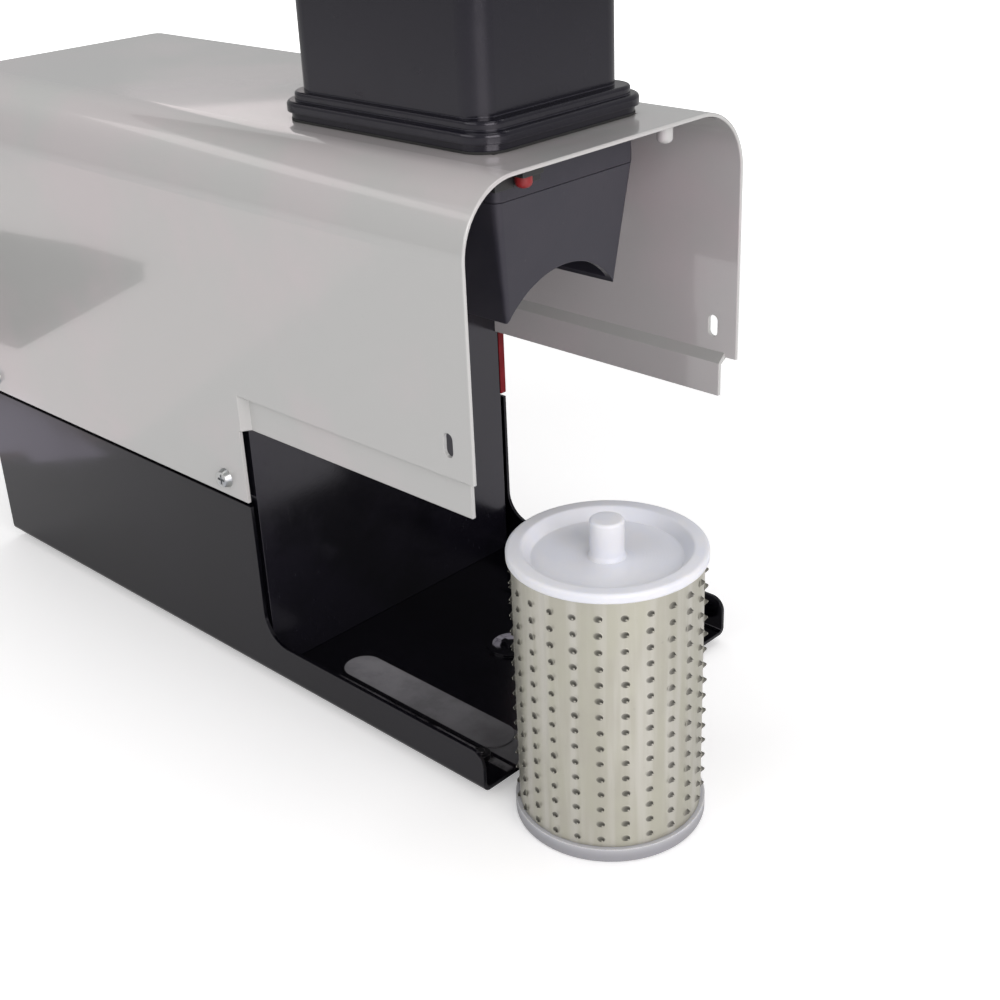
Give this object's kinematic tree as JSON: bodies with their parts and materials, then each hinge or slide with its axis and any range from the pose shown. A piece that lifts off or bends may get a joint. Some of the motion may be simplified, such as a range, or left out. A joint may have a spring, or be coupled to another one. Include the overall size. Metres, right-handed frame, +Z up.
{
  "type": "electric cheese grater",
  "caption": "Motor-driven table-top cheese grater opened for cleaning: bent sheet cover over a black base with an open tray, hopper with press lever, and the spiked roller stood in front.",
  "frame": {"origin": "middle of the bounding box of the whole set, on the table", "axes": "+X along the machine towards its open bay, +Z up, +Y to the far side; the roller stands beyond the tray's front edge on the -Y side"},
  "size_m": [0.4125, 0.1575, 0.3189],
  "materials": {
    "cover_paint": "gloss",
    "base_paint": "gloss",
    "bulkhead_paint": "satin",
    "red_silicone": "satin",
    "red_plastic": "gloss",
    "slate_plastic": "satin",
    "black_plastic": "satin",
    "zinc": "satin",
    "tinned_steel": "satin",
    "nylon": "satin",
    "rubber": "matt",
    "lever_steel": "satin",
    "lamination": "satin",
    "copper": "gloss",
    "cast_aluminium": "satin",
    "bearing_steel": "gloss",
    "cradle_paint": "satin"
  },
  "bodies": {
    "housing": {"base": "base_paint", "bulkhead": "bulkhead_paint", "bulkhead_rivets": "bulkhead_paint", "bulkhead_gasket": "red_silicone", "shaft_seal": "rubber", "rear_panel": "bulkhead_paint", "rear_panel_screws": "zinc", "inlet_socket": "black_plastic", "inlet_pins": "zinc", "switch_body": "black_plastic", "cover": "cover_paint", "cover_screws": "zinc", "fixed_peg": "cover_paint", "interlock_switch": "black_plastic", "hopper_gasket": "rubber", "hopper_body": "slate_plastic", "hopper_screws": "zinc", "hopper_throat": "slate_plastic", "lever_pin": "lever_steel", "rubber_feet": "rubber", "foot_screws": "zinc", "stator_core": "lamination", "stator_windings": "copper", "end_shield_front": "cast_aluminium", "end_shield_rear": "cast_aluminium", "ball_bearings": "bearing_steel", "tie_bolts": "zinc", "motor_cradle": "cradle_paint", "cradle_screws": "zinc", "run_capacitor": "cast_aluminium", "capacitor_clamp": "zinc", "terminal_block": "black_plastic"},
    "drive": {"motor_shaft": "lever_steel", "rotor": "lamination", "cooling_fan": "black_plastic", "drive_dog": "black_plastic"},
    "lever": {"press_lever": "lever_steel", "lever_grip": "black_plastic", "pusher_plate": "slate_plastic", "pusher_screws": "zinc"},
    "plunger": {"interlock_plunger": "red_plastic"},
    "rocker": {"rocker": "black_plastic"},
    "roller": {"drum_shell": "tinned_steel", "front_cap": "nylon", "drive_cap": "nylon"}
  },
  "joints": [
    {"name": "drive_spin", "type": "hinge", "parent": "housing", "child": "drive", "pos_m": [0.00835, 0.001, 0.1504], "axis": [1, 0, 0], "continuous": true},
    {"name": "lever_lift", "type": "hinge", "parent": "housing", "child": "lever", "pos_m": [-0.00365, 0.001, 0.305], "axis": [0, -1, 0], "range_deg": [0, 78]},
    {"name": "plunger_press", "type": "slide", "parent": "housing", "child": "plunger", "axis": [0, 0, 1], "range_m": [0, 0.0014], "stiffness_N_per_m": 300, "springref_m": -0.001},
    {"name": "rocker_tilt", "type": "hinge", "parent": "housing", "child": "rocker", "pos_m": [-0.19815, 0.035, 0.044], "axis": [0, -1, 0], "range_deg": [0, 12]},
    {"name": "lift", "type": "slide", "parent": "housing", "child": "roller", "axis": [0, 0, 1], "range_m": [0, 0.1]}
  ]
}
